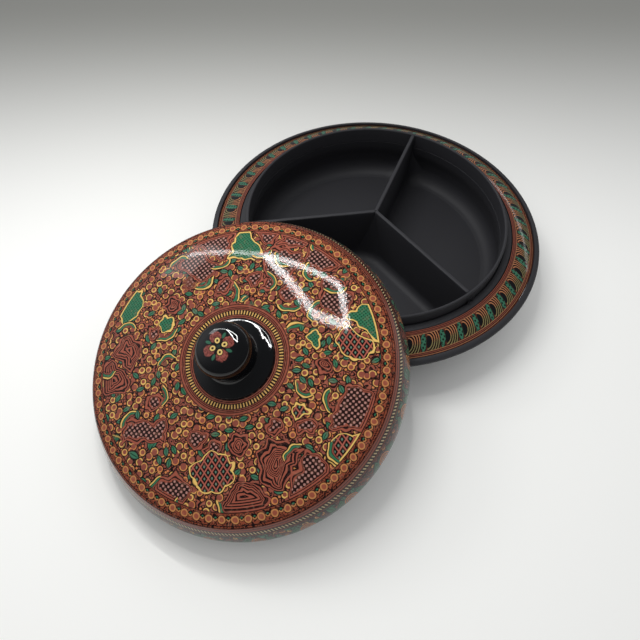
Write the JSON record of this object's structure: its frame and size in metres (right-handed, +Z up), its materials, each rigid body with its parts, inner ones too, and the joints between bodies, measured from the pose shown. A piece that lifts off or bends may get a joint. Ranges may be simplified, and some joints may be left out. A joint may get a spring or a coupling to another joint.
{
  "type": "lacquer covered dish",
  "caption": "Round lacquered dish with a wide patterned brim, a black well with thin dividers, and a low domed lid with a turned knob that leans on it.",
  "frame": {"origin": "middle of the base board's underside, on the table", "axes": "+Z up; the camera of the picture looks along about +Y and down, with the leaning lid in front and to the left"},
  "size_m": [0.3548, 0.4359, 0.1105],
  "materials": {
    "black_lacquer": "gloss black lacquer on a coiled and turned core",
    "patterned_lacquer": "polished incised lacquer in red-brown, orange, yellow, green and black",
    "bare_core": "satin black lacquer over wood"
  },
  "bodies": {
    "dish": {"base_board": "bare_core", "outer_bowl_wall": "black_lacquer", "brim": "patterned_lacquer", "brim_lip": "black_lacquer", "seat_ledge": "black_lacquer", "collar": "black_lacquer", "well_wall": "black_lacquer", "well_floor": "black_lacquer", "divider_left": "black_lacquer", "divider_right": "black_lacquer", "divider_far": "black_lacquer"},
    "lid": {"lid_mouth_ring": "black_lacquer", "lid_side": "patterned_lacquer", "lid_crown": "patterned_lacquer", "knob": "black_lacquer", "knob_peg": "bare_core"}
  },
  "joints": [
    {"name": "lid_lift", "type": "slide", "parent": "dish", "child": "lid", "axis": [0, 0, 1], "range_m": [0, 0.15]}
  ]
}
